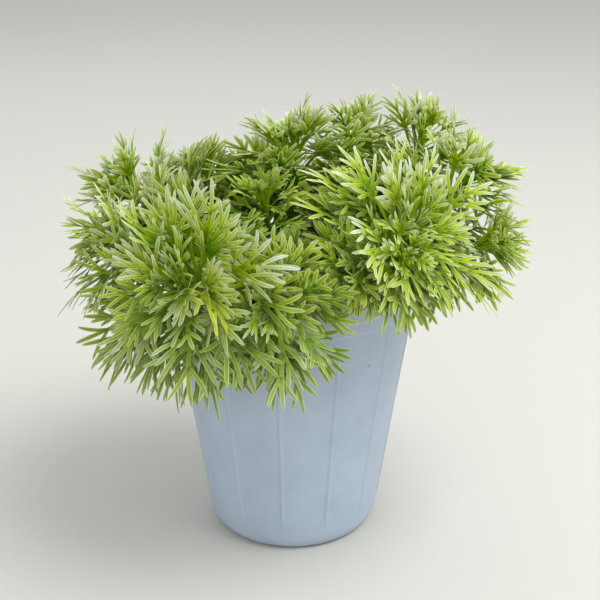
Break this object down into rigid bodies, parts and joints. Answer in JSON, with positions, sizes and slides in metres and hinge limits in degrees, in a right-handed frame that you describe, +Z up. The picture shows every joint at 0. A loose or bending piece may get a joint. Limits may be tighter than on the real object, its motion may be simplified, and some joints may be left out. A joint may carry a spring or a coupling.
{
  "type": "potted silver lace-leaved perennial",
  "caption": "Dense mound of silvery yellow-green, finely divided leafy shoots, not in flower, growing in a thin pale ribbed nursery pot filled with soil.",
  "frame": {"origin": "middle of the pot's underside, on the surface it stands on", "axes": "+Z up, -Y towards the pictured front, +X to the right of the front"},
  "size_m": [0.1613, 0.1468, 0.1549],
  "materials": {
    "pot_plastic": "thin pale bluish-white moulded plastic, satin, slightly translucent",
    "soil": "dark crumbly peat-based potting soil with a few pale grains",
    "foliage": "soft silvery yellow-green leaf with fine hairs, paler at its margins and tips"
  },
  "bodies": {
    "root": {"pot": "pot_plastic", "soil": "soil", "shoot_front_left": "foliage", "shoot_front_right": "foliage", "shoot_front_low": "foliage", "shoot_left_low": "foliage", "shoot_left": "foliage", "shoot_right_low": "foliage", "shoot_right": "foliage", "shoot_back_right_tall": "foliage", "shoot_back_right_inner": "foliage", "shoot_back_centre": "foliage", "shoot_back_left": "foliage", "shoot_centre": "foliage", "shoot_front_inner": "foliage", "shoot_front_right_inner": "foliage", "shoot_front_right_low": "foliage", "shoot_centre_small": "foliage", "shoot_left_inner": "foliage", "shoot_left_middle": "foliage", "shoot_right_inner": "foliage", "shoot_rear_left": "foliage", "shoot_rear_middle": "foliage", "shoot_rear_right": "foliage"}
  },
  "joints": []
}
